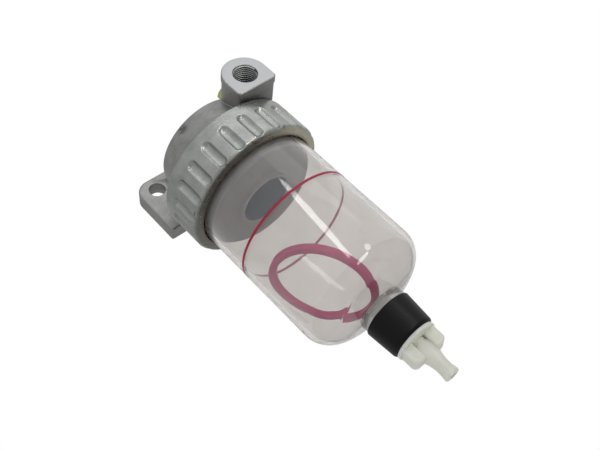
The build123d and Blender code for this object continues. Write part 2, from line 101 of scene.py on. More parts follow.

# Stage, in metres and degrees; the camera has the photograph's viewing angle
CAMERA_PLACE = (-0.21781, -0.42476, -0.29052)
CAMERA_TURN = (123.061, 41.611, -6.93)
SENSOR_WIDTH = 36           # of the camera, in millimetres
FLOOR_HALF = 4              # half the side of the floor
KEY_SIDE = (0.384, -0.834, -0.391)        # direction from which the world's shine is brightest


class Lamp(NamedTuple):
    """A flat lamp that reaches from start to end and faces the part."""

    name: str
    shape: str
    start: tuple
    end: tuple
    width: float
    brightness: str             # the stage's property that sets it
    tint: tuple = (1, 1, 1)
    only_shine: bool = False    # for a lamp near the floor, so that it leaves no pool of light there


LAMPS = (
    Lamp("overhead_box", "RECTANGLE", (0.33, -1.05, 0.84), (1.04, -0.69, 0.70), 0.8, "box_light"),
    Lamp("side_box", "ELLIPSE", (0.15, -0.52, -0.245), (-0.055, -0.51, -0.34), 0.09, "side_light",
         tint=(1.0, 0.95, 0.85), only_shine=True),
    Lamp("long_tube", "ELLIPSE", (0.18, -0.956, 0.36), (-0.15, -1.018, 0.19), 0.09, "tube_light"),
    Lamp("short_tube", "ELLIPSE", (0.42, -0.935, 0.10), (0.36, -1.003, -0.30), 0.18, "tube_light",
         only_shine=True),
)


def linear(code):
    """An sRGB hex value as the linear colour that a shader takes."""
    parts = [int(code[i:i + 2], 16) / 255 for i in (0, 2, 4)]
    return tuple(p / 12.92 if p <= 0.04045 else ((p + 0.055) / 1.055) ** 2.4 for p in parts) + (1.0,)


def length(name, description, millimetres):
    """A size property in metres with its default in millimetres."""
    return FloatProperty(
        name=name, description=description, default=millimetres * MM,
        min=0, precision=5, subtype="DISTANCE", unit="LENGTH",
    )


def colour(name, description, code):
    """A colour property with its default as an sRGB hex value."""
    return FloatVectorProperty(
        name=name, description=description, default=linear(code),
        size=4, min=0, max=1, subtype="COLOR",
    )


class SeparatorSizes(bpy.types.PropertyGroup):
    """Sizes of the fine forms that are added to the construction."""

    flutes: IntProperty(
        name="Flutes", description="Finger flutes round the lock ring", default=22, min=3
    )
    flute_radius: length("Flute radius", "Radius of a flute's trough and of its round ends", 3.6)
    flute_depth: length("Flute depth", "How deep a flute goes into the ring", 2.0)
    flute_drop: length("Flute drop", "From the ring's top down to a flute", 6.5)
    flute_break: length("Flute break", "How far a flute's low end reaches below the ring's corner", 0.6)
    flute_soften: length("Flute edge", "Rounding left by tumbling on a flute's edge", 0.9)
    ring_bore: length("Ring bore", "Radius of the ring's screwed bore", 41.3)
    ring_opening: length("Ring opening", "Radius of the hole that the bowl hangs through", 39.0)
    ring_shoulder: length("Ring shoulder", "Height of the lip below the bowl's flange", 4.1)
    ring_bevel: length("Ring bevel", "Bevel on the ring's top edge", 0.8)
    ring_foot: length("Ring foot", "Rounding at the ring's lower edge", 2.0)
    ring_cone: length("Ring cone", "Rise of the ring's lower face from its opening outwards", 1.2)
    port_pitch: length("Port thread pitch", "Pitch of the inlet, outlet and stem threads", 1.5)
    port_ridge: length("Port thread ridge", "How far a thread ridge stands in from its bore", 0.7)
    band_radius: length("Band radius", "Radius of the head's screwed band", 41.0)
    band_pitch: length("Band thread pitch", "Pitch of the screw thread under the lock ring", 3.0)
    band_ridge: length("Band thread ridge", "How far the band's ridge stands out", 0.24)
    stem_radius: length("Stem radius", "Radius of the drain cock's stem", 7.0)
    stem_ridge: length("Stem thread ridge", "How far the stem's thread ridge stands out", 0.25)
    stem_threaded: length("Stem thread", "Height of the stem's thread over the seal ring", 7.0)
    bowl_radius: length("Bowl radius", "Outer radius of the bowl", 38.5)
    line_height: length("Level line height", "Height of the printed level line", 1.6)
    line_drop: length("Level line place", "From the plate's bolt holes down to the line", 95.5)
    print_skin: length("Print thickness", "Thickness of the printed line", 0.05)


class SeparatorColours(bpy.types.PropertyGroup):
    """Colours of the finishes."""

    head: colour("Head", "Cast skin of the head", "9C9C9B")
    ring: colour("Ring", "Tumbled skin of the lock ring", "A2A5A2")
    stain: colour("Stain", "Brown stain round the ring's opening", "6B5540")
    # Painted light on the right and painted shade on the left of the ring's lower face
    lower_face_light: colour("Lower_face_light", "Pale bloom on the right of the ring's lower face", "C6C0A6")
    lower_face_shade: colour("Lower_face_shade", "Dark film on the left of the ring's lower face", "5E5E52")
    milled: colour("Milled faces", "Bare metal of the port faces and threads", "B0B2B3")
    bowl: colour("Bowl", "Tint of the clear bowl", "E4E1DE")
    line: colour("Level line", "Print of the level line", "BE0E34")
    line_back: colour("Level line's back", "The print as seen through the bowl's wall", "F0B0E8")
    float_ring: colour("Float", "Moulded float", "FF46A0")
    baffle: colour("Baffle", "Moulded baffle", "BABEC1")
    # Painted shade, tinted blue, inside the baffle's tube
    tube: colour("Baffle tube", "Inside of the baffle's tube", "2E5C92")
    collar: colour("Collar", "Moulded collar", "0A0A0C")
    cock: colour("Cock", "Moulded drain cock", "F5F6E9")
    rubber: colour("Seals", "Rubber of the seals", "1C1C1B")
    zinc: colour("Screw", "Yellow zinc on the bleed screw", "AFB173")


def add_node(tree, kind, settings=None, links=None):
    """Adds a node, sets its properties and values, and links its inputs to sockets or nodes."""
    made = tree.nodes.new(kind)
    for key, value in (settings or {}).items():
        if isinstance(key, str) and hasattr(made, key):
            setattr(made, key, value)
        else:
            made.inputs[key].default_value = value
    for key, source in (links or {}).items():
        socket = source if isinstance(source, bpy.types.NodeSocket) else source.outputs[0]
        tree.links.new(socket, made.inputs[key])
    return made


def new_material(name, **shader_values):
    """A material with one Principled shader, its tree, the shader, and the place on the piece."""
    material = bpy.data.materials.new(name)
    material.use_nodes = True
    tree = material.node_tree
    tree.nodes.clear()
    shader = add_node(tree, "ShaderNodeBsdfPrincipled")
    for key, value in shader_values.items():
        shader.inputs[key.replace("_", " ")].default_value = value
    add_node(tree, "ShaderNodeOutputMaterial", links={"Surface": shader})
    place = add_node(tree, "ShaderNodeTexCoord").outputs["Object"]
    return material, tree, shader, place


def spots(size, detail):
    """Settings of a noise whose spots are about size metres across."""
    return {"Scale": 1 / size, "Detail": detail, "Roughness": 0.55}


def scaled(value, factor):
    """A colour made lighter or darker."""
    return tuple(min(1.0, channel * factor) for channel in value[:3]) + (1.0,)


class Mask(NamedTuple):
    """Where a layer shows: not where its source is at start, and at its most where that is at full."""

    source: object
    start: float
    full: float
    most: float = 1.0


def lay_over(shader, layer, *masks):
    """Lays a colour, or a socket's, over the base colour so far, as far as all the masks show it."""
    tree = shader.id_data
    shown = None
    for mask in masks:
        part = add_node(
            tree, "ShaderNodeMapRange",
            {"From Min": mask.start, "From Max": mask.full, "To Max": mask.most}, {"Value": mask.source},
        )
        if shown:
            part = add_node(tree, "ShaderNodeMath", {"operation": "MULTIPLY"}, {0: shown, 1: part})
        shown = part
    base = shader.inputs["Base Color"]
    under = base.links[0].from_socket if base.is_linked else tuple(base.default_value)
    settings, links = {"data_type": "RGBA"}, {"Factor": shown}
    for socket, value in ((6, under), (7, layer)):
        target = links if isinstance(value, bpy.types.NodeSocket) else settings
        target[socket] = value
    tree.links.new(add_node(tree, "ShaderNodeMix", settings, links).outputs[2], base)


def cast_aluminium(name, skin, roughness, grain, clean, relief):
    """Die-cast aluminium: a dull grey skin, fine pits, fewer when clean, and edges made brighter, partly
    by rubbing and partly as a painted highlight.
    """
    material, tree, shader, place = new_material(name, Base_Color=scaled(skin, 0.84), Metallic=0.92)
    blotches = add_node(tree, "ShaderNodeTexNoise", spots(7 * MM, 4), {"Vector": place})
    speckle = add_node(tree, "ShaderNodeTexNoise", spots(grain, 2), {"Vector": place})
    lay_over(shader, scaled(skin, 1.12), Mask(blotches, start=0.3, full=0.7))
    lay_over(shader, scaled(skin, 0.5), Mask(speckle, start=0.42, full=0.25, most=1 - clean))
    # Where the rounded normal turns away from the face's own, there is an edge
    rounded = add_node(tree, "ShaderNodeBevel", {"samples": BEVEL_SAMPLES, "Radius": 0.7 * MM})
    flat = add_node(tree, "ShaderNodeNewGeometry").outputs["Normal"]
    edge_wear_and_highlight = add_node(
        tree, "ShaderNodeVectorMath", {"operation": "DOT_PRODUCT"}, {0: rounded, 1: flat}
    ).outputs["Value"]
    # Edges made lighter: partly rubbed wear, partly a painted highlight
    lay_over(shader, scaled(skin, 1.5), Mask(edge_wear_and_highlight, start=0.97, full=0.8))
    dullness = add_node(
        tree, "ShaderNodeMapRange",
        {"From Min": 0.3, "From Max": 0.7, "To Min": roughness + 0.08, "To Max": roughness - 0.06},
        {"Value": speckle},
    )
    tree.links.new(dullness.outputs[0], shader.inputs["Roughness"])
    bump = add_node(
        tree, "ShaderNodeBump", {"Strength": relief, "Distance": 0.12 * MM},
        {"Height": speckle, "Normal": rounded},
    )
    tree.links.new(bump.outputs[0], shader.inputs["Normal"])
    return material, tree, shader, place


def head_skin(colours):
    """As-cast aluminium of the head: darker and rougher than the ring, with one dark rub."""
    material, tree, shader, place = cast_aluminium(
        "as_cast_aluminium", colours.head, roughness=0.48, grain=0.7 * MM, clean=0.35, relief=0.35
    )
    away = add_node(
        tree, "ShaderNodeVectorMath", {"operation": "DISTANCE", 1: RUB_MARK}, {0: place}
    ).outputs["Value"]
    patches = add_node(tree, "ShaderNodeTexNoise", spots(1.8 * MM, 3), {"Vector": place})
    lay_over(
        shader, scaled(colours.head, 0.2),
        Mask(away, start=4.2 * MM, full=1.6 * MM), Mask(patches, start=0.4, full=0.52, most=0.75),
    )
    return material


def ring_skin(colours):
    """Tumbled aluminium of the lock ring: satin, stained at its opening, with painted shade and light on
    its lower face.
    """
    material, tree, shader, place = cast_aluminium(
        "tumbled_aluminium", colours.ring, roughness=0.3, grain=1.1 * MM, clean=0.7, relief=0.1
    )
    parts = add_node(tree, "ShaderNodeSeparateXYZ", links={0: place}).outputs
    across, height = parts["X"], parts["Z"]
    low = RING_LOW.z
    # Painted shade on the left of the lower face and painted light on its right
    side = add_node(
        tree, "ShaderNodeMapRange", {"From Min": -5 * MM, "From Max": 25 * MM}, {"Value": across}
    )
    painted_shading = add_node(
        tree, "ShaderNodeMix", {"data_type": "RGBA", 6: colours.lower_face_shade, 7: colours.lower_face_light},
        {"Factor": side},
    ).outputs[2]
    lay_over(shader, painted_shading, Mask(height, start=low + 1.5 * MM, full=low + 0.7 * MM, most=0.7))
    lay_over(shader, colours.stain, Mask(height, start=low + 0.35 * MM, full=low, most=0.8))
    specks = add_node(tree, "ShaderNodeTexNoise", spots(3.5 * MM, 3), {"Vector": place})
    lay_over(
        shader, colours.stain,
        Mask(height, start=low + 7 * MM, full=low + 2 * MM, most=0.7),
        Mask(specks, start=0.62, full=0.7),
    )
    return material


def milled_aluminium(colours):
    """Bare faced-off aluminium: brighter than the skin, with turned rings, far enough apart to show."""
    material, tree, shader, place = new_material(
        "milled_aluminium", Base_Color=colours.milled, Metallic=1.0, Roughness=0.42
    )
    centre = INLET["pos_m"]
    about_port = add_node(
        tree, "ShaderNodeMapping", {"Location": (-centre[0], 0, -centre[2]), "Scale": (1, 0, 1)},
        {"Vector": place},
    )
    # This texture's rings are pi / (10 * Scale) apart
    rings = add_node(
        tree, "ShaderNodeTexWave",
        {"wave_type": "RINGS", "rings_direction": "SPHERICAL", "Scale": pi / (10 * TURNED_STEP),
         "Distortion": 0.4},
        {"Vector": about_port},
    ).outputs["Fac"]
    lay_over(shader, scaled(colours.milled, 0.8), Mask(rings, start=0, full=1, most=0.3))
    return material


def clear_plastic(colours):
    """Clear moulded styrene plastic: slightly grey, very slightly wavy, and cloudy at the neck."""
    material, tree, shader, place = new_material(
        "clear_styrene_plastic", Base_Color=scaled(colours.bowl, 0.97), Roughness=0.02, IOR=1.52
    )
    height = add_node(tree, "ShaderNodeSeparateXYZ", links={0: place}).outputs["Z"]
    clearness = add_node(
        tree, "ShaderNodeMapRange",
        {"From Min": CLOUDY_NECK - 6 * MM, "From Max": CLOUDY_NECK + 2 * MM,
         "To Min": 0.45, "To Max": 0.93},
        {"Value": height},
    )
    tree.links.new(clearness.outputs[0], shader.inputs["Transmission Weight"])
    waves = add_node(tree, "ShaderNodeTexNoise", spots(18 * MM, 1), {"Vector": place})
    lay_over(shader, scaled(colours.bowl, 1.02), Mask(waves, start=0.3, full=0.7))
    bump = add_node(tree, "ShaderNodeBump", {"Strength": 0.08, "Distance": 0.5 * MM}, {"Height": waves})
    tree.links.new(bump.outputs[0], shader.inputs["Normal"])
    return material


def moulded_plastic(name, base, roughness, grain, depth, soft=0.0, soft_radius=1.0, gloss=0.5):
    """Moulded plastic: an even colour, a fine skin, and light to soft_radius mm inside if soft."""
    material, tree, shader, place = new_material(
        name, Base_Color=scaled(base, 0.93), Roughness=roughness, Subsurface_Weight=soft,
        Subsurface_Scale=soft_radius * MM, Subsurface_Radius=(1.0, 0.95, 0.8), Specular_IOR_Level=gloss,
    )
    clouds = add_node(tree, "ShaderNodeTexNoise", spots(9 * MM, 2), {"Vector": place})
    lay_over(shader, scaled(base, 1.05), Mask(clouds, start=0.3, full=0.7))
    skin = add_node(tree, "ShaderNodeTexNoise", spots(grain, 2), {"Vector": place})
    rounded = add_node(tree, "ShaderNodeBevel", {"samples": BEVEL_SAMPLES, "Radius": 0.4 * MM})
    bump = add_node(
        tree, "ShaderNodeBump", {"Strength": depth, "Distance": 0.05 * MM},
        {"Height": skin, "Normal": rounded},
    )
    tree.links.new(bump.outputs[0], shader.inputs["Normal"])
    return material, tree, shader, place


def natural_polypropylene(colours):
    """Natural polypropylene of the baffle: milky, with light in its edges, and painted shade, tinted
    blue, in its tube.
    """
    material, tree, shader, place = moulded_plastic(
        "natural_polypropylene", colours.baffle, roughness=0.4, grain=0.8 * MM, depth=0.1,
        soft=0.3, soft_radius=1.5,
    )
    flat = add_node(
        tree, "ShaderNodeMapping", {"Location": (-AXIS.x, -AXIS.y, 0), "Scale": (1, 1, 0)},
        {"Vector": place},
    )
    off_axis = add_node(
        tree, "ShaderNodeVectorMath", {"operation": "LENGTH"}, {0: flat}
    ).outputs["Value"]
    # Painted shade, tinted blue, inside the tube's bore
    lay_over(shader, colours.tube, Mask(off_axis, start=BAFFLE_BORE + 0.4 * MM, full=BAFFLE_BORE))
    return material


def natural_acetal(colours):
    """Natural acetal of the cock: off-white and waxy, and light passes into its thin edges."""
    return moulded_plastic(
        "natural_acetal", colours.cock, roughness=0.36, grain=0.8 * MM, depth=0.05,
        soft=0.85, soft_radius=2.5,
    )[0]


def red_acetal(colours):
    """Red acetal of the float: an even colour, satin."""
    return moulded_plastic(
        "red_acetal", colours.float_ring, roughness=0.4, grain=0.5 * MM, depth=0.2
    )[0]


def black_nylon(colours):
    """Black nylon of the collar: satin, with a soft wide highlight."""
    return moulded_plastic(
        "black_nylon", colours.collar, roughness=0.4, grain=0.5 * MM, depth=0.25, gloss=0.18
    )[0]


def nitrile_rubber(colours):
    """Black nitrile rubber of the seals: matt, with a slight bloom."""
    return moulded_plastic(
        "nitrile_rubber", colours.rubber, roughness=0.65, grain=0.6 * MM, depth=0.4
    )[0]


def yellow_zinc(colours):
    """Steel with yellow-passivated zinc: a pale greenish-yellow metal, faintly clouded."""
    material, tree, shader, place = new_material(
        "yellow_zinc_steel", Base_Color=colours.zinc, Metallic=1.0, Roughness=0.26
    )
    clouds = add_node(tree, "ShaderNodeTexNoise", spots(3 * MM, 3), {"Vector": place})
    lay_over(shader, scaled(colours.zinc, 1.2), Mask(clouds, start=0.35, full=0.65))
    rounded = add_node(tree, "ShaderNodeBevel", {"samples": BEVEL_SAMPLES, "Radius": 0.4 * MM})
    tree.links.new(rounded.outputs[0], shader.inputs["Normal"])
    return material


def print_ink(name, ink, clearness):
    """Printing ink on the outside of the bowl: even, with slightly thin spots that let light through."""
    material, tree, shader, place = new_material(
        name, Base_Color=ink, Roughness=0.5, Transmission_Weight=clearness
    )
    thin = add_node(tree, "ShaderNodeTexNoise", spots(1.5 * MM, 2), {"Vector": place})
    lay_over(shader, scaled(ink, 1.15), Mask(thin, start=0.35, full=0.65))
    return material


def floor_paint():
    """Pale matt floor paint, very slightly clouded."""
    material, tree, shader, place = new_material(
        "pale_floor_paint", Base_Color=linear("EDEDED"), Roughness=0.7
    )
    clouds = add_node(tree, "ShaderNodeTexNoise", spots(200 * MM, 2), {"Vector": place})
    lay_over(shader, linear("F2F2F2"), Mask(clouds, start=0, full=1))
    return material


def made_once(name, make, colours):
    """The material of that name, which is made if no piece has it yet."""
    return bpy.data.materials.get(name) or make(colours)


def settle(piece, body, slot=None, *replaced):
    """Rides a piece on its body in place of the nodes it stands for; the slot is not used."""
    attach(piece, body)
    if replaced:
        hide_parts(*replaced)
    return piece


def link_mesh(name, mesh):
    """Puts a mesh into the scene as an object at the origin."""
    piece = bpy.data.objects.new(name, mesh)
    bpy.context.scene.collection.objects.link(piece)
    return piece


def finish_node(node, material):
    """Gives a construction node its material."""
    slots = frame["nodes"][node].data.materials
    slots.clear()
    slots.append(material)


def new_tree(name, inputs):
    """A geometry tree with a geometry input and output and the named inputs given."""
    tree = bpy.data.node_groups.new(name, "GeometryNodeTree")
    tree.interface.new_socket("Geometry", in_out="INPUT", socket_type="NodeSocketGeometry")
    tree.interface.new_socket("Geometry", in_out="OUTPUT", socket_type="NodeSocketGeometry")
    keys = {
        label: tree.interface.new_socket(label, in_out="INPUT", socket_type=kind).identifier
        for label, kind in inputs.items()
    }
    return tree, add_node(tree, "NodeGroupInput").outputs, keys


def close_tree(tree, geometry, material):
    """Ends a tree in Realize Instances and Set Material."""
    real = add_node(tree, "GeometryNodeRealizeInstances", links={0: geometry})
    finished = add_node(
        tree, "GeometryNodeSetMaterial", links={"Geometry": real, "Material": material}
    )
    add_node(tree, "NodeGroupOutput", links={0: finished})


def plain_mesh(piece):
    """The piece's mesh with its modifiers in it."""
    evaluated = piece.evaluated_get(bpy.context.evaluated_depsgraph_get())
    return bpy.data.meshes.new_from_object(evaluated)


def grown(source, tree, keys, values):
    """Runs a geometry tree on an object, which it uses up, and returns the result as a plain mesh."""
    modifier = source.modifiers.new(tree.name, "NODES")
    modifier.node_group = tree
    for label, value in values.items():
        modifier[keys[label]] = value
    mesh = plain_mesh(source)
    source.modifiers.remove(modifier)
    old = source.data
    bpy.data.objects.remove(source)
    bpy.data.meshes.remove(old)
    return mesh


def thread_tree():
    """A screw thread: a diamond-shaped ridge swept along a spiral."""
    tree, given, keys = new_tree("screw_thread", {
        "Radius": "NodeSocketFloat", "Pitch": "NodeSocketFloat", "Turns": "NodeSocketFloat",
        "Ridge": "NodeSocketFloat", "Material": "NodeSocketMaterial",
    })
    rise = add_node(
        tree, "ShaderNodeMath", {"operation": "MULTIPLY"}, {0: given["Pitch"], 1: given["Turns"]}
    )
    path = add_node(
        tree, "GeometryNodeCurveSpiral", {"Resolution": THREAD_STEPS},
        {"Rotations": given["Turns"], "Start Radius": given["Radius"],
         "End Radius": given["Radius"], "Height": rise},
    )
    section = add_node(
        tree, "GeometryNodeCurvePrimitiveCircle", {"Resolution": 4}, {"Radius": given["Ridge"]}
    )
    ridge = add_node(
        tree, "GeometryNodeCurveToMesh", {"Fill Caps": True}, {"Curve": path, "Profile Curve": section}
    )
    close_tree(tree, ridge, given["Material"])
    return tree, keys


def screw_thread(name, material, place, radius, pitch, turns, ridge):
    """One thread as a plain mesh object, carried by place from its own axis to the piece's."""
    tree, keys = thread_tree()
    holder = link_mesh(name, bpy.data.meshes.new(name))
    mesh = grown(holder, tree, keys, {
        "Radius": radius, "Pitch": pitch, "Turns": turns, "Ridge": ridge, "Material": material,
    })
    mesh.transform(place)
    return link_mesh(name, mesh)


def round_tree():
    """Repeats a segment round the vertical axis and joins the copies into one ring."""
    tree, given, keys = new_tree("ring_of_segments", {
        "Count": "NodeSocketInt", "Join": "NodeSocketFloat", "Material": "NodeSocketMaterial",
    })
    points = add_node(tree, "GeometryNodePoints", links={"Count": given["Count"]})
    number = add_node(tree, "GeometryNodeInputIndex")
    step = add_node(tree, "ShaderNodeMath", {"operation": "DIVIDE", 0: 2 * pi}, {1: given["Count"]})
    turn = add_node(tree, "ShaderNodeMath", {"operation": "MULTIPLY"}, {0: number, 1: step})
    about = add_node(tree, "ShaderNodeCombineXYZ", links={"Z": turn})
    copies = add_node(
        tree, "GeometryNodeInstanceOnPoints",
        links={"Points": points, "Instance": given["Geometry"], "Rotation": about},
    )
    real = add_node(tree, "GeometryNodeRealizeInstances", links={0: copies})
    joined = add_node(
        tree, "GeometryNodeMergeByDistance", links={"Geometry": real, "Distance": given["Join"]}
    )
    close_tree(tree, joined, given["Material"])
    return tree, keys


def stepped(corners):
    """Points along a line of ((radius, height), steps to the next corner), without its last corner."""
    points = []
    for (start, count), (end, _) in zip(corners, corners[1:]):
        points += [
            (start[0] + (end[0] - start[0]) * i / count, start[1] + (end[1] - start[1]) * i / count)
            for i in range(count)
        ]
    return points


def flute_ends(sizes):
    """Heights of the middles of a flute's two round ends."""
    high = RING_HIGH.z - sizes.flute_drop - sizes.flute_radius
    low = RING_LOW.z + sizes.ring_cone - sizes.flute_break + sizes.flute_radius
    return high, low


def ring_outline(sizes):
    """The lock ring's section as (radius, height) points, once round."""
    outer, top, low = RING_RADIUS, RING_HIGH.z, RING_LOW.z
    bevel, foot = sizes.ring_bevel, sizes.ring_foot
    lip = low + sizes.ring_shoulder
    bend = pi / 2 - atan(sizes.ring_cone / (outer - sizes.ring_opening))
    foot_top = low + sizes.ring_cone + foot * tan(bend / 2)
    flute_top = top - sizes.flute_drop + sizes.flute_soften / 2
    high, under = flute_ends(sizes)
    outside = stepped([
        ((sizes.ring_bore, top), 4), ((outer - bevel, top), 3), ((outer, top - bevel), 4),
        ((outer, flute_top), 18), ((outer, high), 8), ((outer, under), 6), ((outer, foot_top), 0),
    ])
    arc = [bend * i / FOOT_STEPS for i in range(FOOT_STEPS + 1)]
    rounding = [(outer - foot * (1 - cos(turn)), foot_top - foot * sin(turn)) for turn in arc]
    inside = stepped([
        (rounding[-1], 10), ((sizes.ring_opening, low), 3), ((sizes.ring_opening, lip), 2),
        ((sizes.ring_bore, lip), 6), ((sizes.ring_bore, top), 0),
    ])
    return outside + rounding + inside[1:]


def fluted(radius, height, angle, sizes):
    """The radius of the ring's surface where a flute may have cut it away."""
    centre = RING_RADIUS + sizes.flute_radius - sizes.flute_depth
    high, low = flute_ends(sizes)
    past = max(0.0, height - high, low - height)
    inside = sizes.flute_radius ** 2 - past ** 2 - (centre * sin(angle)) ** 2
    if inside <= 0:
        return radius
    cut = centre * cos(angle) - sqrt(inside)
    # Tumbling takes most off at the flute's edge, a quarter of the width that it softens
    near = max(sizes.flute_soften - abs(radius - cut), 0) / sizes.flute_soften
    return min(radius, cut) - near ** 2 * sizes.flute_soften / 4


def add_quads(work, rows, closed):
    """Joins rows of corners with faces; each row is a loop, and if closed, the rows are one too."""
    pairs = zip(rows, rows[1:] + rows[:1]) if closed else zip(rows, rows[1:])
    for first, second in pairs:
        for i in range(len(first)):
            j = (i + 1) % len(first)
            work.faces.new((first[i], first[j], second[j], second[i]))


def ring_segment(sizes):
    """One flute and the half lands beside it, as an open strip of the ring."""
    outline = ring_outline(sizes)
    half = pi / sizes.flutes
    work = bmesh.new()
    rows = []
    for i in range(FLUTE_COLUMNS + 1):
        even = 2 * i / FLUTE_COLUMNS - 1
        angle = half * (even + FLUTE_CROWDING * sin(2 * pi * even) / (2 * pi))
        row = []
        for radius, height in outline:
            r = fluted(radius, height, angle, sizes)
            row.append(work.verts.new((r * cos(angle), r * sin(angle), height)))
        rows.append(row)
    add_quads(work, rows, closed=False)
    mesh = bpy.data.meshes.new("ring_segment")
    work.to_mesh(mesh)
    work.free()
    return link_mesh("ring_segment", mesh)


def point_outwards(mesh):
    """Turns a closed mesh's faces outwards and shades it smooth between its sharp edges."""
    work = bmesh.new()
    work.from_mesh(mesh)
    bmesh.ops.recalc_face_normals(work, faces=work.faces)
    work.to_mesh(mesh)
    work.free()
    mesh.shade_smooth()
    mesh.set_sharp_from_angle(angle=CREASE)


def weigh_normals(piece):
    """Keeps large flat faces flat in shading beside the small faces of the roundings."""
    modifier = piece.modifiers.new("weighted", "WEIGHTED_NORMAL")
    modifier.keep_sharp = True
    mesh = plain_mesh(piece)
    piece.modifiers.remove(modifier)
    old = piece.data
    piece.data = mesh
    bpy.data.meshes.remove(old)


def turned(name, outline, material, segments=192):
    """A closed section (radius, height) turned round the bowl's axis."""
    work = bmesh.new()
    rings = []
    for i in range(segments):
        angle = 2 * pi * i / segments
        rings.append([
            work.verts.new((AXIS.x + r * cos(angle), AXIS.y + r * sin(angle), z)) for r, z in outline
        ])
    add_quads(work, rings, closed=True)
    mesh = bpy.data.meshes.new(name)
    work.to_mesh(mesh)
    work.free()
    mesh.materials.append(material)
    point_outwards(mesh)
    return link_mesh(name, mesh)


class SEPARATOR_OT_head(bpy.types.Operator):
    """Finish the cast head: dull skin, and bright milled port faces"""

    bl_idname = "separator.head"
    bl_label = "Cast Head"

    def execute(self, context):
        colours = context.scene.separator_colours
        mesh = frame["nodes"]["filter_head"].data.copy()
        work = bmesh.new()
        work.from_mesh(mesh)
        bmesh.ops.remove_doubles(work, verts=work.verts, dist=WELD)
        work.to_mesh(mesh)
        work.free()
        mesh.materials.clear()
        mesh.materials.append(head_skin(colours))
        mesh.materials.append(milled_aluminium(colours))
        mesh.shade_smooth()
        for face in mesh.polygons:
            if self.milled(face):
                face.material_index = 1
                face.use_smooth = max(abs(part) for part in face.normal) < TRULY_FLAT
        mesh.set_sharp_from_angle(angle=CAST_CREASE)
        piece = link_mesh("head_casting", mesh)
        weigh_normals(piece)
        settle(piece, "head", "head_casting", "filter_head")
        return {"FINISHED"}

    def milled(self, face):
        """Whether a face is machined: the ports' faces, their bores and the wall face."""
        centre, normal = face.center, face.normal
        inlet, outlet = Vector(INLET["pos_m"]), Vector(OUTLET["pos_m"])
        mouth = INLET["dims"]["r_mm"] * MM + PORT_EDGE
        off_inlet = Vector((centre.x - inlet.x, centre.z - inlet.z)).length
        off_outlet = Vector((centre.x - outlet.x, centre.y - outlet.y)).length
        over_outlet = centre.z - outlet.z
        on_port = normal.y < -FACES_AXIS and centre.y < HEAD_LOW.y + ON_PLANE
        in_inlet = off_inlet < mouth and centre.y < inlet.y + PORT_CUT
        in_outlet = off_outlet < mouth and over_outlet > -PORT_CUT
        on_outlet = normal.z > FACES_AXIS and off_outlet < 2 * mouth and over_outlet > OUTLET_FACE
        on_wall = normal.y > FACES_AXIS and centre.y > -ON_PLANE
        return on_port or in_inlet or in_outlet or on_outlet or on_wall


class SEPARATOR_OT_lock_ring(bpy.types.Operator):
    """Make the lock ring with its soft-edged finger flutes"""

    bl_idname = "separator.lock_ring"
    bl_label = "Lock Ring"

    phase: FloatProperty(
        name="First flute", description="Direction of the first flute",
        default=radians(-73.5), subtype="ANGLE",
    )

    def execute(self, context):
        sizes = context.scene.separator_sizes
        finish = ring_skin(context.scene.separator_colours)
        tree, keys = round_tree()
        mesh = grown(ring_segment(sizes), tree, keys, {
            "Count": sizes.flutes, "Join": SEGMENT_WELD, "Material": finish,
        })
        mesh.transform(Matrix.Translation(AXIS) @ Matrix.Rotation(self.phase, 4, "Z"))
        point_outwards(mesh)
        settle(link_mesh("fluted_ring", mesh), "ring", "ring_casting", "lock_ring")
        return {"FINISHED"}


class SEPARATOR_OT_threads(bpy.types.Operator):
    """Add the ridges of the screw threads in the ports and on the head's band and the cock's stem"""

    bl_idname = "separator.threads"
    bl_label = "Threads"

    def execute(self, context):
        sizes, colours = context.scene.separator_sizes, context.scene.separator_colours
        bare = made_once("milled_aluminium", milled_aluminium, colours)
        half = INLET["dims"]["length_mm"] * MM / 2
        inwards = Matrix.Translation((0, 0, sizes.port_pitch / 2 - half))
        forward, upwards = Matrix.Rotation(radians(90), 4, "X"), Matrix()
        for name, mount, facing in (("inlet_thread", INLET, forward), ("outlet_thread", OUTLET, upwards)):
            settle(screw_thread(
                name, bare, Matrix.Translation(mount["pos_m"]) @ facing @ inwards,
                radius=mount["dims"]["r_mm"] * MM, pitch=sizes.port_pitch,
                turns=2 * half / sizes.port_pitch - 1, ridge=sizes.port_ridge,
            ), "head", "head_casting")
        low, high = HEAD_LOW.z + BAND_FOOT, RING_HIGH.z - BAND_TOP
        settle(screw_thread(
            "band_thread", made_once("as_cast_aluminium", head_skin, colours),
            Matrix.Translation((AXIS.x, AXIS.y, low)), radius=sizes.band_radius, pitch=sizes.band_pitch,
            turns=(high - low) / sizes.band_pitch, ridge=sizes.band_ridge,
        ), "head", "head_casting")
        low = COCK_HIGH.z - sizes.stem_threaded - sizes.port_pitch
        settle(screw_thread(
            "stem_thread", made_once("natural_acetal", natural_acetal, colours),
            Matrix.Translation((AXIS.x, AXIS.y, low)), radius=sizes.stem_radius, pitch=sizes.port_pitch,
            turns=sizes.stem_threaded / sizes.port_pitch, ridge=sizes.stem_ridge,
        ), "drain_cock", "cock_plastic")
        return {"FINISHED"}


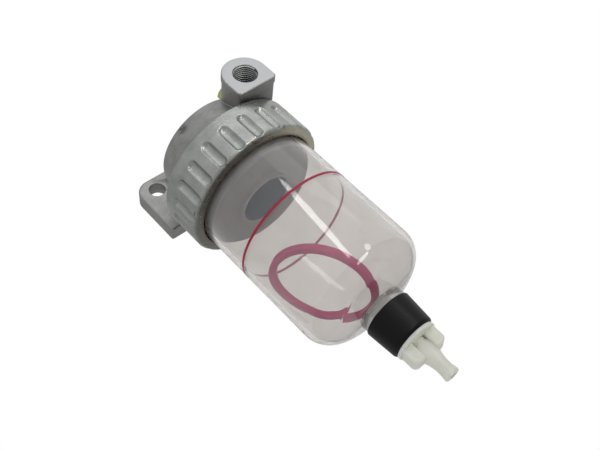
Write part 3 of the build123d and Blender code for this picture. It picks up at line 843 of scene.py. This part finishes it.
class SEPARATOR_OT_bowl(bpy.types.Operator):
    """Finish the clear bowl and print its level line"""

    bl_idname = "separator.bowl"
    bl_label = "Clear Bowl"

    def execute(self, context):
        sizes, colours = context.scene.separator_sizes, context.scene.separator_colours
        finish_node("bowl", clear_plastic(colours))
        inner = sizes.bowl_radius + PRINT_GAP
        outer = inner + sizes.print_skin
        low = -sizes.line_drop - sizes.line_height / 2
        high = low + sizes.line_height
        outline = [(inner, low), (outer, low), (outer, high), (inner, high)]
        line = turned("level_line", outline, print_ink("red_print_ink", colours.line, clearness=0.55))
        # The print's back is what the far side of the line shows through the bowl
        line.data.materials.append(print_ink("red_print_ink_back", colours.line_back, clearness=0.95))
        for face in line.data.polygons:
            outwards = Vector((face.center.x - AXIS.x, face.center.y - AXIS.y, 0))
            if face.normal.dot(outwards.normalized()) < PRINT_BACK:
                face.material_index = 1
        settle(line, "bowl")
        return {"FINISHED"}


class SEPARATOR_OT_inner_parts(bpy.types.Operator):
    """Finish the baffle, the float and the seals"""

    bl_idname = "separator.inner_parts"
    bl_label = "Baffle, Float and Seals"

    def execute(self, context):
        colours = context.scene.separator_colours
        finish_node("baffle", natural_polypropylene(colours))
        finish_node("float_ring", red_acetal(colours))
        rubber = nitrile_rubber(colours)
        finish_node("bowl_seal", rubber)
        finish_node("drain_seal", rubber)
        return {"FINISHED"}


class SEPARATOR_OT_drain(bpy.types.Operator):
    """Finish the collar and the drain cock"""

    bl_idname = "separator.drain"
    bl_label = "Collar and Drain Cock"

    def execute(self, context):
        colours = context.scene.separator_colours
        finish_node("neck_collar", black_nylon(colours))
        finish_node("drain_cock", made_once("natural_acetal", natural_acetal, colours))
        return {"FINISHED"}


class SEPARATOR_OT_bleed_screw(bpy.types.Operator):
    """Finish the bleed screw and its washer"""

    bl_idname = "separator.bleed_screw"
    bl_label = "Bleed Screw"

    def execute(self, context):
        finish = yellow_zinc(context.scene.separator_colours)
        finish_node("bleed_screw", finish)
        finish_node("bleed_washer", finish)
        return {"FINISHED"}


class SEPARATOR_OT_stage(bpy.types.Operator):
    """Lay the floor, hang the lamps and set the camera"""

    bl_idname = "separator.stage"
    bl_label = "Stage"

    floor_drop: length("Floor drop", "From the drain's end down to the floor", 170)
    lens: FloatProperty(name="Lens", description="Focal length on a 36 mm sensor", default=51.506)
    box_light: FloatProperty(
        name="Soft box", description="Brightness of the soft box, where 1 is white", default=0.5
    )
    side_light: FloatProperty(
        name="Side box", description="Brightness of the side box, where 1 is white", default=8
    )
    tube_light: FloatProperty(
        name="Tubes", description="Brightness of the tube lamps, where 1 is white", default=5
    )
    fill: FloatProperty(name="Fill", description="Light from all round on dull surfaces", default=0.56)
    shade: FloatProperty(
        name="Dark side", description="What shines see on the side away from the lamps", default=0.5
    )

    def execute(self, context):
        scene = context.scene
        scene.view_settings.view_transform = "Standard"
        self.floor()
        self.world(scene)
        middle = Vector((AXIS.x, AXIS.y, (HEAD_HIGH.z + COCK_LOW.z) / 2))
        for lamp in LAMPS:
            self.hang(scene, lamp, middle, getattr(self, lamp.brightness))
        camera = bpy.data.objects.new("camera", bpy.data.cameras.new("camera"))
        scene.collection.objects.link(camera)
        camera.data.lens = self.lens
        camera.data.sensor_width = SENSOR_WIDTH
        camera.location = CAMERA_PLACE
        camera.rotation_euler = Euler([radians(turn) for turn in CAMERA_TURN])
        scene.camera = camera
        return {"FINISHED"}

    def floor(self):
        """A plain pale floor under the part."""
        work = bmesh.new()
        bmesh.ops.create_grid(work, x_segments=1, y_segments=1, size=FLOOR_HALF)
        bmesh.ops.translate(work, verts=work.verts, vec=(0, 0, COCK_LOW.z - self.floor_drop))
        mesh = bpy.data.meshes.new("floor")
        work.to_mesh(mesh)
        work.free()
        mesh.materials.append(floor_paint())
        link_mesh("floor", mesh)

    def world(self, scene):
        """White behind the part, a softer light on it, and a shaded side for its shine to show."""
        world = bpy.data.worlds.new("studio")
        scene.world = world
        world.use_nodes = True
        tree = world.node_tree
        tree.nodes.clear()
        ray = add_node(tree, "ShaderNodeLightPath").outputs
        direction = add_node(tree, "ShaderNodeTexCoord").outputs["Generated"]
        towards = add_node(
            tree, "ShaderNodeVectorMath", {"operation": "DOT_PRODUCT", 1: KEY_SIDE}, {0: direction}
        ).outputs["Value"]
        shine = add_node(
            tree, "ShaderNodeMapRange", {"From Min": -0.8, "From Max": 0.8, "To Min": self.shade},
            {"Value": towards},
        )
        on_part = add_node(
            tree, "ShaderNodeMix", {"data_type": "FLOAT", 2: self.fill},
            {0: ray["Is Glossy Ray"], 3: shine},
        )
        behind = add_node(
            tree, "ShaderNodeMath", {"operation": "MAXIMUM"},
            {0: ray["Is Camera Ray"], 1: ray["Is Transmission Ray"]},
        )
        strength = add_node(
            tree, "ShaderNodeMix", {"data_type": "FLOAT", 3: 1.0}, {0: behind, 2: on_part}
        )
        sky = add_node(tree, "ShaderNodeBackground", {"Color": (1, 1, 1, 1)}, {"Strength": strength})
        add_node(tree, "ShaderNodeOutputWorld", links={0: sky})

    def hang(self, scene, lamp, middle, radiance):
        """Hangs a flat lamp that faces the part and is radiance times as bright as white."""
        start, end = Vector(lamp.start), Vector(lamp.end)
        along, centre = end - start, (start + end) / 2
        away = (centre - middle).normalized()
        across = away.cross(along).normalized()
        data = bpy.data.lights.new(lamp.name, "AREA")
        data.shape = lamp.shape
        data.size, data.size_y = along.length, lamp.width
        area = along.length * lamp.width * (pi / 4 if lamp.shape == "ELLIPSE" else 1)
        data.energy = radiance * pi * area
        data.color = lamp.tint
        light = bpy.data.objects.new(lamp.name, data)
        light.visible_camera = False
        light.visible_diffuse = light.visible_transmission = not lamp.only_shine
        scene.collection.objects.link(light)
        facing = Matrix((across.cross(away), across, away)).transposed()
        light.matrix_world = Matrix.Translation(centre) @ facing.to_4x4()


OPERATORS = (
    SEPARATOR_OT_head, SEPARATOR_OT_lock_ring, SEPARATOR_OT_threads, SEPARATOR_OT_bowl,
    SEPARATOR_OT_inner_parts, SEPARATOR_OT_drain, SEPARATOR_OT_bleed_screw, SEPARATOR_OT_stage,
)


class SEPARATOR_PT_panel(bpy.types.Panel):
    """Sizes, colours and steps of the separator"""

    bl_label = "Fuel Water Separator"
    bl_idname = "SEPARATOR_PT_panel"
    bl_space_type = "VIEW_3D"
    bl_region_type = "UI"
    bl_category = "Separator"

    def draw(self, context):
        layout = self.layout
        for operator in OPERATORS:
            layout.operator(operator.bl_idname)
        for group in (context.scene.separator_sizes, context.scene.separator_colours):
            box = layout.box()
            for name in group.bl_rna.properties.keys():
                if name not in ("rna_type", "name"):
                    box.prop(group, name)


CLASSES = (SeparatorSizes, SeparatorColours) + OPERATORS + (SEPARATOR_PT_panel,)


def register():
    for item in CLASSES:
        bpy.utils.register_class(item)
    bpy.types.Scene.separator_sizes = PointerProperty(type=SeparatorSizes)
    bpy.types.Scene.separator_colours = PointerProperty(type=SeparatorColours)


def unregister():
    del bpy.types.Scene.separator_colours
    del bpy.types.Scene.separator_sizes
    for item in reversed(CLASSES):
        bpy.utils.unregister_class(item)


def main():
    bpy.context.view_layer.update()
    register()
    bpy.ops.separator.head()
    bpy.ops.separator.lock_ring()
    bpy.ops.separator.threads()
    bpy.ops.separator.bowl()
    bpy.ops.separator.inner_parts()
    bpy.ops.separator.drain()
    bpy.ops.separator.bleed_screw()
    bpy.ops.separator.stage()


if __name__ == "__main__":
    main()
